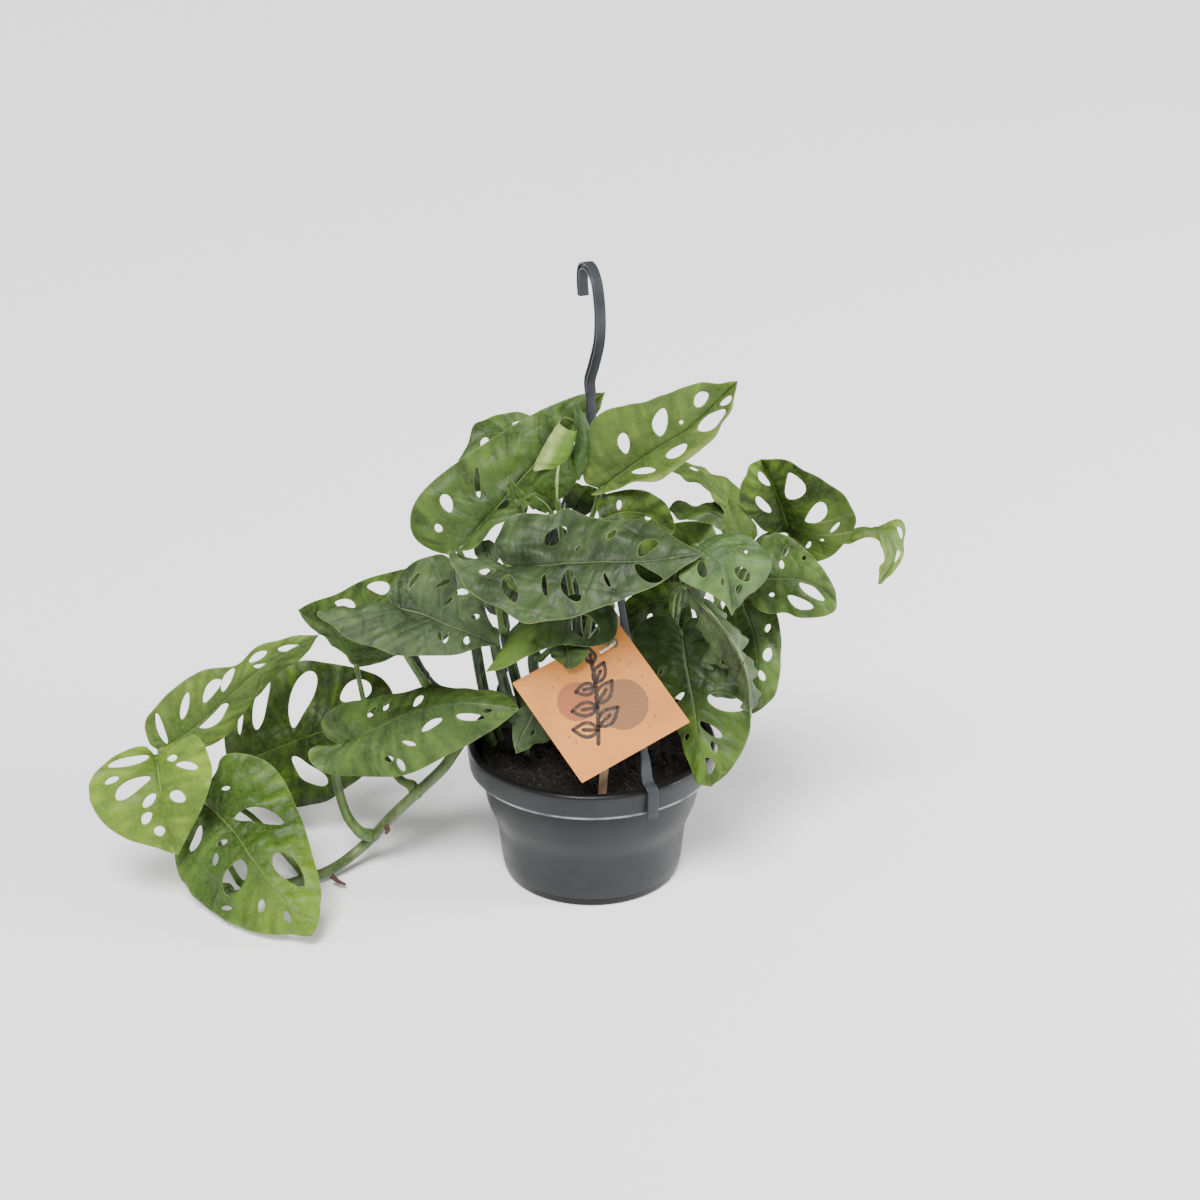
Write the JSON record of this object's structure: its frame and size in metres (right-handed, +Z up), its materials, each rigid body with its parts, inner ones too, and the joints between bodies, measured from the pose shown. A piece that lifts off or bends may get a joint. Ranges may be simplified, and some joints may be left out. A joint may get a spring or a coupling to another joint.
{
  "type": "monstera adansonii in a hanging pot",
  "caption": "Swiss cheese plant with long perforated leaves on trailing and climbing stems, in a round plastic pot with a clip-on three-strap hanger and hook, and a hang tag on a stick.",
  "frame": {"origin": "centre of the pot's underside, on the pot's axis, where it stands", "axes": "+Z up along the pot's axis; -Y towards the viewer; +X to the viewer's right, with the long trailing stem on the -X side"},
  "size_m": [0.488, 0.2086, 0.3941],
  "materials": {
    "pot": "satin",
    "soil": "matte",
    "stick": "matte",
    "card": "matte",
    "tie": "matte",
    "stem": "satin",
    "root": "matte",
    "hanger": "satin",
    "leaf": "satin"
  },
  "bodies": {
    "root": {"pot": "pot", "soil": "soil", "tag_stick": "stick", "vine_trailing": "stem", "vine_slim": "stem", "vine_left": "stem", "vine_leaning": "stem", "vine_middle": "stem", "vine_front": "stem", "vine_centre": "stem", "vine_right": "stem", "vine_back": "stem", "aerial_root_1": "root", "aerial_root_2": "root", "hanger_hook": "hanger", "hanger_strap_1": "hanger", "hanger_strap_2": "hanger", "hanger_strap_3": "hanger", "tag_card": "card", "tag_tie": "tie", "leaf_a": "leaf", "leaf_b": "leaf", "leaf_c": "leaf", "leaf_d": "leaf", "leaf_f": "leaf", "leaf_g": "leaf", "leaf_h": "leaf", "leaf_i": "leaf", "leaf_j": "leaf", "leaf_k": "leaf", "leaf_l": "leaf", "leaf_m": "leaf", "leaf_n": "leaf", "leaf_o": "leaf", "leaf_p": "leaf", "leaf_q": "leaf", "leaf_r": "leaf", "leaf_s": "leaf", "leaf_t": "leaf", "leaf_u": "leaf", "leaf_v": "leaf", "leaf_w": "leaf", "leaf_x": "leaf", "leaf_y": "leaf", "leaf_y2": "leaf", "leaf_z": "leaf", "leaf_aa": "leaf", "leaf_ab": "leaf", "leaf_e": "leaf", "leaf_roll": "leaf", "leaf_back_1": "leaf", "leaf_back_2": "leaf", "leaf_inner": "leaf", "leaf_curl": "leaf", "leaf_back_3": "leaf", "leaf_back_4": "leaf", "leaf_back_5": "leaf", "leaf_back_6": "leaf"}
  },
  "joints": []
}
